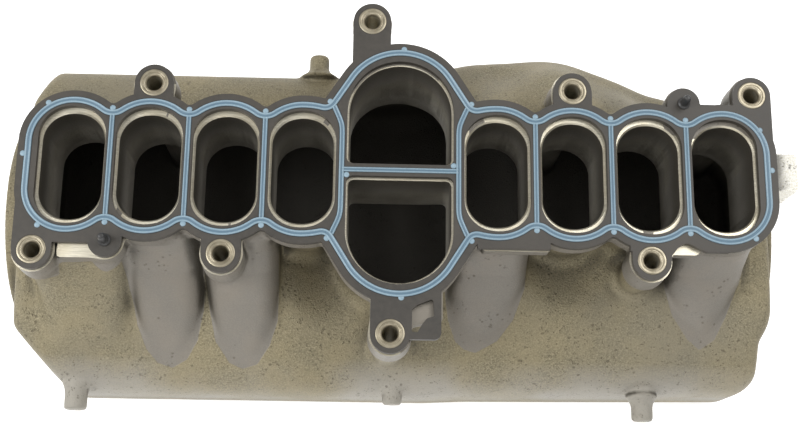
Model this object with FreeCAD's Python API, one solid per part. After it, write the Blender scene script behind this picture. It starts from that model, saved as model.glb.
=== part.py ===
import FreeCAD, Part
import os
from math import sqrt, sin, cos, pi, atan2, hypot, asin

# Upper intake manifold with its carrier gasket, flange up.  Millimetres.
# Frame: X along the row of ports, Y across it, Z out of the mating face.
# Origin: middle of the bar between the two inlets, on the seat plane (top of the limiters).

# ---- driving dimensions ----
PITCH = 43.5            # port pitch along X
PORT_X0 = 55.65         # centre of the first port either side of the inlets
PORT_W = 17.6           # half width of a cast port
PORT_H = 31.3           # half height of a cast port
PORT_END_R = 22.0
PORT_COR_R = 16.5
OPEN_W = 19.0           # half width of a carrier opening
OPEN_H = 34.5
OPEN_END_R = 24.5
OPEN_COR_R = 17.5
CREST_Y = 38.0          # seal centreline over a port
SCALLOP_R = 27.0
END_R = 24.3
CUSP_R = 9.0
RING_CY = 37.7          # centre of the inlet ring arcs
RING_R = 33.5
RING_VX, RING_VY = 40.2, 36.8
RING_X = 33.3
CARRIER_T = 4.0
CARRIER_OUT = 5.7       # carrier edge beyond the seal centreline
BEAD_W = 3.8
DIV_W = 3.0
BEAD_UP = 0.9           # seal stands proud of the carrier
BEAD_SUNK = 1.1
INLET_W = 29.4          # half width of each D shaped inlet
INLET_CY = 35.0
INLET_BAR = 4.8         # half thickness of the bar between them
LIM_R = 8.25            # compression limiter
LIM_BORE = 4.5
BOSS_R = 12.6
EAR_R = 11.0
FLANGE_T = 12.0
BASE_Z = -145.0         # back of the plenum
WALL = 5.0
CY, HALF_Y = -15.0, 106.0   # plenum centreline and half width
EQ_Z = -103.0           # level where the plenum is widest
APEX_Z = -55.0          # top of its arched front
END_X = 227.0           # plenum ends, under the pads
PAD_X = 235.5
HOLES = [(-142.0, 49.6), (-17.3, 90.7), (99.3, 50.0), (203.8, 49.8),
         (-203.8, -49.8), (-99.3, -50.0), (-4.4, -93.4), (142.0, -49.6)]
PINS = [(163.8, 43.9), (-163.8, -43.9)]
PORTS = [-PORT_X0 - 3 * PITCH, -PORT_X0 - 2 * PITCH, -PORT_X0 - PITCH, -PORT_X0,
         PORT_X0, PORT_X0 + PITCH, PORT_X0 + 2 * PITCH, PORT_X0 + 3 * PITCH]
DIVIDERS = [s * (PORT_X0 + (i + 0.5) * PITCH) for s in (-1, 1) for i in range(3)]

V = FreeCAD.Vector
os.makedirs("parts", exist_ok=True)


def line(a, b, z=0.0):
    return Part.makeLine(V(a[0], a[1], z), V(b[0], b[1], z))


def arc3(a, m, b, z=0.0):
    return Part.Arc(V(a[0], a[1], z), V(m[0], m[1], z), V(b[0], b[1], z)).toShape()


def arc_c(c, r, a0, a1, z=0.0):
    """Arc about c from angle a0 to a1 (radians, either way)."""
    p = [(c[0] + r * cos(t), c[1] + r * sin(t)) for t in (a0, (a0 + a1) / 2, a1)]
    return arc3(p[0], p[1], p[2], z)


def rounded(points, z=0.0):
    """Closed wire through (x, y, r) corners, each rounded with its own radius."""
    n = len(points)
    cut = []
    for i, (x, y, r) in enumerate(points):
        px, py = points[i - 1][:2]
        nx, ny = points[(i + 1) % n][:2]
        ux, uy = px - x, py - y
        vx, vy = nx - x, ny - y
        lu, lv = hypot(ux, uy), hypot(vx, vy)
        ux, uy, vx, vy = ux / lu, uy / lu, vx / lv, vy / lv
        if r <= 0:
            cut.append(((x, y), None, (x, y)))
            continue
        half = 0.5 * (pi - abs(atan2(ux * vy - uy * vx, ux * vx + uy * vy)))
        t = r * sin(half) / cos(half)
        a = (x + ux * t, y + uy * t)
        b = (x + vx * t, y + vy * t)
        bx, by = ux + vx, uy + vy
        lb = hypot(bx, by)
        d = r / cos(half) - r
        m = (x + bx / lb * d, y + by / lb * d)
        cut.append((a, m, b))
    edges = []
    for i in range(n):
        a, m, b = cut[i]
        if m:
            edges.append(arc3(a, m, b, z))
        q = cut[(i + 1) % n][0]
        if hypot(q[0] - b[0], q[1] - b[1]) > 1e-6:
            edges.append(line(b, q, z))
    return Part.Wire(edges)


def face(wire):
    return Part.Face(wire)


def up(f, z0, z1):
    """Extrude a face drawn at z=0 from z0 to z1."""
    g = f.copy()
    g.translate(V(0, 0, z0))
    return g.extrude(V(0, 0, z1 - z0))


def cyl(x, y, r, z0, z1):
    return Part.makeCylinder(r, z1 - z0, V(x, y, z0), V(0, 0, 1))


def ycyl(x, z, r, y0, y1):
    return Part.makeCylinder(r, y1 - y0, V(x, y0, z), V(0, 1, 0))


def xcyl(y, z, r, x0, x1):
    return Part.makeCylinder(r, x1 - x0, V(x0, y, z), V(1, 0, 0))


def oval(cx, w, h, R, r):
    """Port outline: straight sides, arched ends, large corner arcs."""
    dy = sqrt((R - r) ** 2 - (w - r) ** 2)
    yc = h - R + dy
    a = atan2(dy, w - r)
    e = []
    for s in (1, -1):
        # s=1: upper end from right side to left side; s=-1 the lower end back again
        c1 = (cx + s * (w - r), s * yc)
        c0 = (cx, s * (h - R))
        c2 = (cx - s * (w - r), s * yc)
        k = 0.0 if s == 1 else pi
        e.append(arc_c(c1, r, k, k + a))
        e.append(arc_c(c0, R, k + a, k + pi - a))
        e.append(arc_c(c2, r, k + pi - a, k + pi))
        e.append(line((cx - s * w, s * yc), (cx - s * w, -s * yc)))
    return Part.Wire(e)


def dee(w, cy, bar, r, s):
    """D shaped opening on the s side (+1 or -1) of the bar."""
    e = [arc3((w, s * cy), (0, s * (cy + w)), (-w, s * cy)),
         line((-w, s * cy), (-w, s * (bar + r))),
         arc3((-w, s * (bar + r)), (-w + r * (1 - sqrt(0.5)), s * (bar + r * (1 - sqrt(0.5)))), (-w + r, s * bar)),
         line((-w + r, s * bar), (w - r, s * bar)),
         arc3((w - r, s * bar), (w - r * (1 - sqrt(0.5)), s * (bar + r * (1 - sqrt(0.5)))), (w, s * (bar + r))),
         line((w, s * (bar + r)), (w, s * cy))]
    return Part.Wire(e)


def quarter_points():
    """Key points of the seal's outer loop in the first quarter (x>0, y>0)."""
    d = hypot(RING_VX, RING_VY - RING_CY)
    g = asin(RING_R / d)
    base = atan2(RING_VY - RING_CY, RING_VX)
    t = base + (pi / 2 - g)          # angle of the tangent point on the ring circle
    T = (RING_R * cos(t), RING_CY + RING_R * sin(t))
    return t, T


def outer_loop(off=0.0):
    """Seal outer loop, moved outward by off."""
    Rr = RING_R + off
    R = SCALLOP_R + off
    q = CUSP_R - off
    t, T0 = quarter_points()
    T = (Rr * cos(t), RING_CY + Rr * sin(t))
    dx, dy = sin(t), -cos(t)                 # heading down the tangent line, away from the ring
    # concave fillet between the tangent line and the first scallop
    f = 6.0 - off if 6.0 - off > 0.4 else 0.4
    R4 = 45.0 + off
    c4 = (PORT_X0, CREST_Y - 45.0)
    # centre of the fillet: f beyond the line, f beyond the scallop arc
    nx, ny = cos(t), sin(t)
    bx, by = T[0] + nx * f, T[1] + ny * f
    ex, ey = bx - c4[0], by - c4[1]
    B = ex * dx + ey * dy
    C = ex * ex + ey * ey - (R4 + f) ** 2
    k = -B + sqrt(B * B - C)
    k2 = -B - sqrt(B * B - C)
    k = k2 if k2 > 0 else k
    F = (bx + dx * k, by + dy * k)
    L = (F[0] - nx * f, F[1] - ny * f)
    a4 = atan2(F[1] - c4[1], F[0] - c4[0])
    S = (c4[0] + R4 * cos(a4), c4[1] + R4 * sin(a4))
    segs = []                                # first quarter, from the ring top to the right end
    segs.append(("arc", (0, RING_CY), Rr, pi / 2, t))
    segs.append(("line", T, L))
    a_in = atan2(L[1] - F[1], L[0] - F[0])
    a_out = atan2(S[1] - F[1], S[0] - F[0])
    while a_in > a_out:
        a_in -= 2 * pi
    segs.append(("arc", F, f, a_in, a_out))
    segs.append(("arc", c4, R4, a4, pi / 2))
    for i in range(4):
        cx = PORT_X0 + i * PITCH
        c = (cx, CREST_Y - SCALLOP_R)
        if i < 3:
            h = sqrt((R + q) ** 2 - (PITCH / 2) ** 2)
            fc = (cx + PITCH / 2, c[1] + h)
            a = atan2(h, PITCH / 2)
            segs.append(("arc", c, R, pi / 2, a))
            segs.append(("arc", fc, q, pi + a, 2 * pi - a))
            segs.append(("arc", (cx + PITCH, c[1]), R, pi - a, pi / 2))
        else:
            c = (cx, CREST_Y - END_R)
            segs.append(("arc", c, END_R + off, pi / 2, 0.0))
            segs.append(("line", (cx + END_R + off, c[1]), (cx + END_R + off, -c[1])))
    edges = []
    for sx, sy in ((1, 1), (1, -1), (-1, -1), (-1, 1)):
        for s in segs:
            if s[0] == "line":
                a, b = s[1], s[2]
                if abs(a[0] - b[0]) < 1e-9:      # the end line: draw it once a side
                    if sy == 1:
                        edges.append(line((sx * a[0], a[1]), (sx * b[0], b[1])))
                    continue
                edges.append(line((sx * a[0], sy * a[1]), (sx * b[0], sy * b[1])))
            else:
                c, r, a0, a1 = s[1:]
                if abs(a1 - a0) < 1e-9:
                    continue
                p = [(sx * (c[0] + r * cos(v)), sy * (c[1] + r * sin(v))) for v in (a0, (a0 + a1) / 2, a1)]
                edges.append(arc3(p[0], p[1], p[2]))
    return Part.Wire(Part.__sortEdges__(edges))


def ring_side(s, half):
    """Band of the given half width along one side of the inlet ring, s=+1 right."""
    pts = [(RING_X, -24.0), (RING_X, 24.0)]
    top = (38.9, 38.2)
    band = [(RING_X - half, -26.5, 8.0), (RING_X - half, 26.5, 8.0), (top[0] - half, top[1], 0), (top[0] + half, top[1], 0),
            (RING_X + half, 25.5, 8.0), (RING_X + half, -25.5, 8.0), (top[0] + half, -top[1], 0), (top[0] - half, -top[1], 0)]
    w = rounded([(s * x, y, r) for x, y, r in band])
    return face(w)


def rect(x0, x1, y0, y1):
    return face(rounded([(x0, y0, 0), (x1, y0, 0), (x1, y1, 0), (x0, y1, 0)]))


def joined(shapes):
    a = shapes[0].fuse(shapes[1:]) if len(shapes) > 1 else shapes[0]
    return a.removeSplitter()


TABS = [(-201, 35.9), (-213, 5.5), (-201.5, -35.9), (-164.4, 33.6), (-164.4, -33.6), (-120.9, 33.6), (-120.9, -33.6),
        (-77.4, 33.6), (-77.4, -33.6), (-40.6, 40.4), (-40.6, -40.4), (1.5, 73.3), (1.5, -73.3), (40.6, 40.4), (40.6, -40.4),
        (77.4, 33.6), (77.4, -33.6), (120.9, 33.6), (120.9, -33.6), (164.4, 33.6), (164.4, -33.6), (207.3, 28.5), (213, 4.5), (201.5, -35.9)]


def seal_solid(z0, z1, tabs):
    """Solid of the whole seal plan between two levels."""
    band = face(outer_loop(BEAD_W / 2)).cut(face(outer_loop(-BEAD_W / 2)))
    solids = [up(band, z0, z1)]
    for x in DIVIDERS:
        solids.append(up(rect(x - DIV_W / 2, x + DIV_W / 2, -30.6, 30.6), z0, z1))
    solids.append(up(rect(-RING_X, RING_X, -DIV_W / 2, DIV_W / 2), z0, z1))
    for s in (-1, 1):
        solids.append(up(ring_side(s, DIV_W / 2), z0, z1))
    if tabs:
        for x, y in TABS:
            solids.append(cyl(x, y, 1.7, z0, z1))
        solids.append(cyl(-30.4, -3.2, 1.7, z0, z1))
        solids.append(cyl(30.4, 3.2, 1.7, z0, z1))
    return joined(solids)


def groove_solid(z0, z1):
    """The hollow line that runs along the middle of the bead."""
    g = 0.55
    band = face(outer_loop(g)).cut(face(outer_loop(-g)))
    solids = [up(band, z0, z1)]
    for x in DIVIDERS:
        solids.append(up(rect(x - 0.4, x + 0.4, -29.0, 29.0), z0, z1))
    solids.append(up(rect(-31.6, 31.6, -0.4, 0.4), z0, z1))
    return solids


# ---- plan outlines ----
def ear(points):
    return face(rounded(points))


def plan_ears(g):
    """Ears and filled corners of the plan, grown by g."""
    f = []
    for x, y in HOLES:
        f.append(face(Part.Wire(Part.makeCircle(EAR_R + g, V(x, y, 0)))))
    for x, y in PINS:
        f.append(face(Part.Wire(Part.makeCircle(9.4 + g, V(x, y, 0)))))
    return f


def plan_webs(g):
    """Straight sided webs that join the ears to the body of the plan, grown by g."""
    w = []
    w.append(ear([(-153.4 - g, 34, 0), (-131.0 + g, 34, 0), (-131.0 + g, 49.6, 0), (-153.0 - g, 49.6, 0)]))
    w.append(ear([(-28.4 - g, 40, 0), (-6.3 + g, 40, 0), (-6.3 + g, 90.7, 0), (-28.4 - g, 90.7, 0)]))
    w.append(ear([(88.2 - g, 34, 0), (110.4 + g, 34, 0), (110.4 + g, 50, 0), (88.2 - g, 50, 0)]))
    w.append(ear([(192.7 - g, 34, 0), (214.8 + g, 10, 0), (214.8 + g, 49.8, 0), (192.7 - g, 49.8, 0)]))
    w.append(ear([(-214.9 - g, 8, 0), (-214.9 - g, -49.8, 0), (-192.7 + g, -49.8, 0), (-192.7 + g, -30, 0)]))
    w.append(ear([(-110.4 - g, -34, 0), (-88.2 + g, -34, 0), (-88.2 + g, -50, 0), (-110.4 - g, -50, 0)]))
    w.append(ear([(-15.5 - g, -60, 0), (6.7 + g, -60, 0), (6.7 + g, -93.4, 0), (-15.5 - g, -93.4, 0)]))
    w.append(ear([(131.0 - g, -34, 0), (153.2 + g, -34, 0), (153.2 + g, -49.6, 0), (131.0 - g, -49.6, 0)]))
    w.append(ear([(154.3 - g, 28, 0), (173.3 + g, 28, 0), (173.3 + g, 43.9, 0), (154.3 - g, 43.9, 0)]))
    w.append(ear([(-173.3 - g, -28, 0), (-154.3 + g, -28, 0), (-154.3 + g, -43.9, 0), (-173.3 - g, -43.9, 0)]))
    # flat fills between an end ear and the pin boss, and under the fifth port
    w.append(ear([(-205, -20, 0), (-160, -20, 0), (-160, -45.4 - g, 0), (-205, -45.4 - g, 0)]))
    w.append(ear([(160, 20, 0), (205, 20, 0), (205, 43.4 + g, 0), (160, 43.4 + g, 0)]))
    w.append(ear([(44, -30, 0), (85, -30, 0), (85, -44.4 - g, 0), (44, -44.4 - g, 0)]))
    if g > 0:
        w.append(ear([(130, -30, 0), (186, -30, 0), (186, -44.2 - g, 0), (130, -44.2 - g, 0)]))
    else:
        # here the carrier leaves a crescent of the flange bare
        w.append(ear([(130, -30, 0), (186, -30, 0), (186, -44.2, 0), (173.5, -44.2, 0), (167.0, -41.4, 4), (162.0, -38.6, 5), (157.0, -41.9, 5), (152.4, -47.8, 0), (130, -44.2, 0)]))
    return w


def plan(z0, z1, g):
    """Plan of the carrier grown by g, as a solid."""
    s = [up(face(outer_loop(CARRIER_OUT + g)), z0, z1)]
    s += [up(f, z0, z1) for f in plan_ears(g)]
    s += [up(f, z0, z1) for f in plan_webs(g)]
    return joined(s)


# rectangular extension with a window, right of the lower middle ear
EXT = [(2.0, -60, 0), (23.8, -60, 0), (23.8, -96.4, 4.0), (0.0, -96.4, 0)]
WINDOW = [(7.6, -79.9, 1.2), (10.2, -77.4, 1.5), (19.3, -73.6, 1.2), (19.9, -83.4, 1.0), (15.8, -84.6, 3.0), (12.9, -88.5, 2.0),
          (10.7, -92.4, 0.8), (7.5, -92.2, 0.8)]


# ---- gasket carrier ----
def make_carrier():
    body = plan(-CARRIER_T, 0.0, 0.0)
    body = body.fuse(up(face(rounded(EXT)), -CARRIER_T, 0.0)).removeSplitter()
    cuts = [up(face(oval(x, OPEN_W, OPEN_H, OPEN_END_R, OPEN_COR_R)), -CARRIER_T - 1, 3) for x in PORTS]
    for s in (1, -1):
        cuts.append(up(face(dee(INLET_W + 1.2, INLET_CY + 0.2, INLET_BAR - 1.2, 4.0, s)), -CARRIER_T - 1, 3))
    cuts.append(up(face(rounded(WINDOW)), -CARRIER_T - 1, 3))
    for x, y in HOLES:
        cuts.append(cyl(x, y, LIM_R, -CARRIER_T - 1, 3))
    for x, y in PINS:
        cuts.append(cyl(x, y, 2.5, -CARRIER_T - 1, 3))
    cuts.append(seal_solid(-BEAD_SUNK, 3.0, False))
    cuts.append(seal_solid(-CARRIER_T - 3.0, -CARRIER_T + BEAD_SUNK, False))
    return body.cut(cuts).removeSplitter()


def make_seal_top():
    return seal_solid(-BEAD_SUNK, BEAD_UP, False)


def make_seal_bottom():
    return seal_solid(-CARRIER_T, -CARRIER_T + BEAD_SUNK, False)


def make_limiter(x, y):
    """Turned ring: bore, chamfered lip, raised outer land with a fine recess between."""
    prof = [(LIM_BORE, -CARRIER_T), (LIM_R, -CARRIER_T), (LIM_R, -0.5), (LIM_R - 0.4, 0.0), (6.6, 0.0), (6.3, -0.45),
            (5.9, -0.45), (5.7, -0.1), (4.85, -0.1), (LIM_BORE, -0.45)]
    e = [Part.makeLine(V(a[0], 0, a[1]), V(b[0], 0, b[1])) for a, b in zip(prof, prof[1:] + prof[:1])]
    s = Part.Face(Part.Wire(e)).revolve(V(0, 0, 0), V(0, 0, 1), 360)
    s.translate(V(x, y, 0))
    return s


PIN_TOP = 10.5


def make_pin(x, y):
    """Push-in pin: shank in carrier and casting, thin collar, tapered tip."""
    prof = [(0, -14.0), (1.8, -14.0), (2.5, -12.5), (2.5, 0.0), (3.6, 0.0), (3.6, 1.2), (2.4, 1.8), (2.4, 7.5), (1.6, PIN_TOP), (0, PIN_TOP)]
    e = [Part.makeLine(V(a[0], 0, a[1]), V(b[0], 0, b[1])) for a, b in zip(prof, prof[1:] + prof[:1])]
    s = Part.Face(Part.Wire(e)).revolve(V(0, 0, 0), V(0, 0, 1), 360)
    s.translate(V(x, y, 0))
    return s


# ---- casting ----
OUTLINE = [(-228.5, 60, 24), (-214, 86, 14), (0, 87.5, 60), (46, 93, 60), (92, 102.5, 60), (131, 91.5, 40), (152, 78, 40), (198, 62, 30),
           (228, 40, 30), (228, -72, 30), (218.5, -84, 12), (216.5, -119.3, 16), (30, -120.3, 0), (-196, -119.4, 10), (-228.5, -82, 10)]
HUMP_CY = -5.5          # the arch of the raised back right corner sits this far over


def outline(g):
    """Plenum silhouette in plan, moved inward by g."""
    w = rounded(OUTLINE)
    if g:
        w = w.makeOffset2D(-g)
    return w


def arch(g, c=CY):
    """Cross-section of the plenum in Y and Z, moved inward by g: arched front, flat back, rounded lower edges."""
    hy = HALF_Y - g
    hz = APEX_Z - g - EQ_Z
    base = BASE_Z + g
    r = 24.0 - g
    pts = []
    n = 24
    for i in range(n + 1):
        t = pi * i / n
        ct, st = cos(t), sin(t)
        e = 2.0 / 2.5
        y = hy * abs(ct) ** e * (1 if ct >= 0 else -1)
        z = hz * abs(st) ** e
        pts.append(V(0, c + y, EQ_Z + z))
    b = Part.BSplineCurve()
    b.interpolate(pts, InitialTangent=V(0, 0, 1), FinalTangent=V(0, 0, -1))
    right, left = pts[0], pts[-1]
    edges = [b.toShape(),
             Part.makeLine(left, V(0, c - hy, base + r)),
             Part.Arc(V(0, c - hy, base + r), V(0, c - hy + r * (1 - sqrt(0.5)), base + r * (1 - sqrt(0.5))), V(0, c - hy + r, base)).toShape(),
             Part.makeLine(V(0, c - hy + r, base), V(0, c + hy - r, base)),
             Part.Arc(V(0, c + hy - r, base), V(0, c + hy - r * (1 - sqrt(0.5)), base + r * (1 - sqrt(0.5))), V(0, c + hy, base + r)).toShape(),
             Part.makeLine(V(0, c + hy, base + r), right)]
    return Part.Face(Part.Wire(edges))


def plenum(g):
    f = arch(g)
    f.translate(V(-END_X - 10, 0, 0))
    p = f.extrude(V(2 * (END_X + 10), 0, 0))
    h = arch(g, HUMP_CY)
    h.translate(V(14.0 + g, 0, 0))
    h = h.extrude(V(186.0 - 2 * g, 0, 0)).common(Part.makeBox(300, 200, 400, V(0, 0, -300)))
    q = up(face(outline(g)), BASE_Z - 1, 0)
    return p.common(q).fuse(h.common(q))


def yz_prism(points, x0, x1):
    w = Part.makePolygon([V(x0, y, z) for y, z in points] + [V(x0, points[0][0], points[0][1])])
    return Part.Face(w).extrude(V(x1 - x0, 0, 0))


def yz_curved(curve, rest, x0, x1):
    """Prism along X whose section is a smooth curve closed by straight lines."""
    b = Part.BSplineCurve()
    b.interpolate([V(x0, y, z) for y, z in curve])
    pts = [curve[-1]] + rest + [curve[0]]
    e = [b.toShape()] + [Part.makeLine(V(x0, *p), V(x0, *q)) for p, q in zip(pts, pts[1:])]
    return Part.Face(Part.Wire(e)).extrude(V(x1 - x0, 0, 0))


RUN_OUT = {  # runners that show below the flange: centre x, then half width and tip y
    -139.0: (18.4, -101.0), -90.0: (20.0, -101.0), 52.0: (21.5, -92.0), 181.0: (21.5, -89.0)}


def runner_out(cx, hw, tip, g):
    k = (tip + 40.0) / (-101.0 + 40.0)
    curve = [(-40.5 + g, -12.0), (-43.0 + g, -24.0), (-43 - 11 * k + g, -36.0 - g), (-43 - 26 * k + g, -49.0 - g),
             (-43 - 43 * k + g, -63.5 - g), (tip + g * 1.2, -82.0 - g)]
    rest = [(tip + g * 1.2, -112.0), (10.0, -112.0), (10.0, -12.0)]
    body = yz_curved(curve, rest, cx - hw + g, cx + hw - g)
    h = hw - g
    tipr = min(h * 0.92, 17.0 - g * 0.5)
    u = face(rounded([(cx - h, 12, 0), (cx - h, tip + g, tipr), (cx + h, tip + g, tipr), (cx + h, 12, 0)]))
    body = body.common(up(u, -115, -10))
    return body


def soften(shape, test, radii):
    edges = [e for e in shape.Edges if test(e)]
    for r in radii:
        try:
            s = shape.makeFillet(r, edges)
            if s.isValid() and s.Volume > 0:
                return s
        except Exception:
            pass
    print("kept sharp:", len(edges), "edges")
    return shape


def make_casting():
    ft = -CARRIER_T
    solids = []
    body = plenum(0.0)
    solids.append(body)
    # flange and its exposed machined corners
    solids.append(plan(ft - FLANGE_T, ft, 0.9))
    solids.append(up(face(rounded([(-190, -40, 0), (-166, -40, 0), (-166, -53.2, 2), (-190, -53.2, 3)])), ft - FLANGE_T, ft))
    solids.append(up(face(rounded([(140, -36, 0), (170, -36, 0), (176, -41, 2), (168.5, -45.4, 2), (146, -45.4, 0)])), ft - FLANGE_T, ft))
    solids.append(up(face(rounded([(2.0, -60, 0), (24.8, -60, 0), (24.8, -76, 3), (8.0, -84, 3), (0.0, -90, 0)])), ft - FLANGE_T, ft))
    # runner walls under the ports
    for x in PORTS:
        solids.append(up(face(oval(x, PORT_W + 4.4, PORT_H + 4.6, 26.0, 20.0)), APEX_Z - 25, ft - FLANGE_T + 1))
    for cx, (hw, tip) in RUN_OUT.items():
        r = runner_out(cx, hw, tip, 0.0)
        r = soften(r, lambda e: e.BoundBox.ZMax < -11 and e.BoundBox.YLength > 12 and e.BoundBox.ZLength > 12 and e.BoundBox.YMin > tip - 1
                   and e.BoundBox.YMax > tip + 30, (13.0, 10.0, 7.0, 4.0))
        solids.append(r)
    # inlet duct
    for s in (1, -1):
        solids.append(up(face(dee(INLET_W + 5.6, INLET_CY + 0.6, -8.0, 3.0, s)), APEX_Z - 25, ft - FLANGE_T + 1))
    # bolt bosses under the flange and towers down to the back
    for i, (x, y) in enumerate(HOLES):
        solids.append(cyl(x, y, BOSS_R, ft - 22.0, ft))
        if i == 1:
            solids.append(cyl(x, y, 11.0, -78.0, ft - 20))
        else:
            solids.append(cyl(x, y, 10.0, BASE_Z + 1, ft - 20))
    for x, y in PINS:
        solids.append(cyl(x, y, 9.8, ft - 16.0, ft))
    # webs from the bosses to the walls
    solids.append(up(rect(-24.0, -10.5, 60.0, 92.0), -78.0, ft - 14))
    # end pads
    box = Part.makeBox(2 * PAD_X, 300, 130, V(-PAD_X, -150, BASE_Z + 10))
    end = arch(3.0)
    end.translate(V(-300, 0, 0))
    end = end.extrude(V(600, 0, 0)).common(box)
    solids.append(xcyl(-6.0, -118.0, 67.3, -PAD_X, -END_X + 6).common(end))
    solids.append(xcyl(-6.0, -148.0, 75.0, END_X - 6, PAD_X - 1.0).common(end))
    # bracket lug at the right-hand end
    solids.append(Part.makeBox(20.0, 23.0, 26.0, V(215.5, -2.0, -50.0)))
    solids.append(Part.makeBox(15.5, 23.0, 5.0, V(220.0, -2.0, -25.0)))
    solids.append(yz_prism([(-12, -58), (21, -58), (21, -46), (0, -46)], 212, 229))
    # cast posts round the edge
    solids.append(ycyl(-51.0, -84.0, 6.4, 70, 100.5))
    solids.append(ycyl(-191.5, -84.0, 6.2, -128.8, -105))
    solids.append(ycyl(151.5, -84.0, 5.9, -132.5, -100))
    solids.append(ycyl(-1.0, -84.0, 6.2, -124.6, -100))
    for x, y0, y1 in ((-51.0, 80.0, 90.0), (-191.5, -121.5, -112.0), (151.5, -125.0, -115.0)):
        r0, r1 = (12.0, 6.4) if y0 > 0 else (6.3, 11.0)
        solids.append(Part.makeCone(r0, r1, abs(y1 - y0), V(x, y0, -84.0), V(0, 1, 0)))
    shape = solids[0].fuse(solids[1:])
    # passages
    towers = [cyl(x, y, 10.0, BASE_Z, -20.0) for i, (x, y) in enumerate(HOLES) if i != 1]
    cuts = [up(face(oval(x, PORT_W, PORT_H, PORT_END_R, PORT_COR_R)), -90.0, 1.0) for x in PORTS]
    for s in (1, -1):
        cuts.append(up(face(dee(INLET_W, INLET_CY, INLET_BAR, 3.0, s)), -90.0, 1.0))
    for cx, (hw, tip) in RUN_OUT.items():
        cuts.append(runner_out(cx, hw, tip, 5.0).common(Part.makeBox(600, 300, 93, V(-300, -150, -115))).cut(towers))
    cavity = plenum(WALL)
    cavity = cavity.cut(towers)
    shape = shape.cut(cuts + [cavity])
    # bolt bores come last
    bores = []
    for i, (x, y) in enumerate(HOLES):
        z0 = -79.0 if i == 1 else BASE_Z - 1
        bores.append(cyl(x, y, LIM_BORE, z0, 1.0))
        if i != 1:
            bores.append(cyl(x, y, 9.0, BASE_Z - 1, BASE_Z + 1.2))   # spot face for the bolt head
    for x, y in PINS:
        bores.append(cyl(x, y, 2.5, ft - 11.0, 1.0))
    shape = shape.cut(bores)
    # nothing of the casting may stand above the flange face
    shape = shape.cut(Part.makeBox(600, 300, 20, V(-300, -150, ft)))
    return shape


def clean(shape, name):
    s = shape.removeSplitter() if name != "casting" else shape
    solids = sorted(s.Solids, key=lambda k: -k.Volume)
    if len(solids) > 1:
        print(name, "has", len(solids), "solids:", [round(k.Volume, 2) for k in solids[:6]])
    return solids[0]


def write(name, shape):
    s = clean(shape, name)
    b = s.BoundBox
    print(name, "valid", s.isValid(), "vol cm3", round(s.Volume / 1000, 2), "box", [round(v, 1) for v in (b.XMin, b.XMax, b.YMin, b.YMax, b.ZMin, b.ZMax)],
          "faces", len(s.Faces))
    s.exportStep("parts/%s.step" % name)


write("gasket_carrier", make_carrier())
write("seal_top", make_seal_top())
write("seal_bottom", make_seal_bottom())
for i, (x, y) in enumerate(HOLES):
    write("limiter_%d" % (i + 1), make_limiter(x, y))
for i, (x, y) in enumerate(PINS):
    write("locating_pin_%d" % (i + 1), make_pin(x, y))
write("casting", make_casting())
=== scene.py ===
from math import asin, atan2, cos, hypot, pi, sin, sqrt

import bmesh
import bpy
import numpy as np
from mathutils import Matrix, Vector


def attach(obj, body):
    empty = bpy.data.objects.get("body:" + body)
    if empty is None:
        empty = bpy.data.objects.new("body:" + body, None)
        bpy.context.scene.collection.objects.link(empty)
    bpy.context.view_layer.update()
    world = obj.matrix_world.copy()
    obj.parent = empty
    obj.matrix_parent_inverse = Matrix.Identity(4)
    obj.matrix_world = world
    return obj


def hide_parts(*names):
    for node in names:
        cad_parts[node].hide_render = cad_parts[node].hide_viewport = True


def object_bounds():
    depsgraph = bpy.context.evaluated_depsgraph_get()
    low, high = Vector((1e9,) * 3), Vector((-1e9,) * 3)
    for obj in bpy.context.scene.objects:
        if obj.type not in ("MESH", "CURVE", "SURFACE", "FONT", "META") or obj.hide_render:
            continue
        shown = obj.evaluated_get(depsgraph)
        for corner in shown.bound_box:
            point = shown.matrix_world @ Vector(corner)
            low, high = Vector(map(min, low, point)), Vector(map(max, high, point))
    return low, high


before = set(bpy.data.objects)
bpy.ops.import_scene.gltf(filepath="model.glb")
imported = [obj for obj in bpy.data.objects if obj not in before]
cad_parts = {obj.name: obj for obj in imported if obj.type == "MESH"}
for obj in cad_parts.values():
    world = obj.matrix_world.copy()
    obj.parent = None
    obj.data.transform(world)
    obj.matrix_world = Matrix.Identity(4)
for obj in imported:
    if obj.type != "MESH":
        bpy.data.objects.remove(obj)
cad_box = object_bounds()
MM = 0.001

# ------------------------------------------------------------------ camera
PAN, TILT, ROLL = -0.026820, 0.256307, 0.013175
CAM_AT = (-18.170, -203.716, 684.825)


def rot(pan, tilt, roll):
    ct, st = cos(tilt), sin(tilt)
    cp, sp = cos(pan), sin(pan)
    cr, sr = cos(roll), sin(roll)
    rx = Matrix(((1, 0, 0), (0, ct, -st), (0, st, ct)))
    ry = Matrix(((cp, 0, sp), (0, 1, 0), (-sp, 0, cp)))
    rz = Matrix(((cr, -sr, 0), (sr, cr, 0), (0, 0, 1)))
    return ry @ rx @ rz


cam_data = bpy.data.cameras.new("camera")
cam = bpy.data.objects.new("camera", cam_data)
bpy.context.scene.collection.objects.link(cam)
cam_data.sensor_fit = "HORIZONTAL"
cam_data.sensor_width = 36.0
cam_data.lens = 56.67
cam_data.clip_start = 0.01
cam_data.clip_end = 20.0
m = rot(PAN, TILT, ROLL).to_4x4()
m.translation = [v * MM for v in CAM_AT]
cam.matrix_world = m
bpy.context.scene.camera = cam

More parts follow.
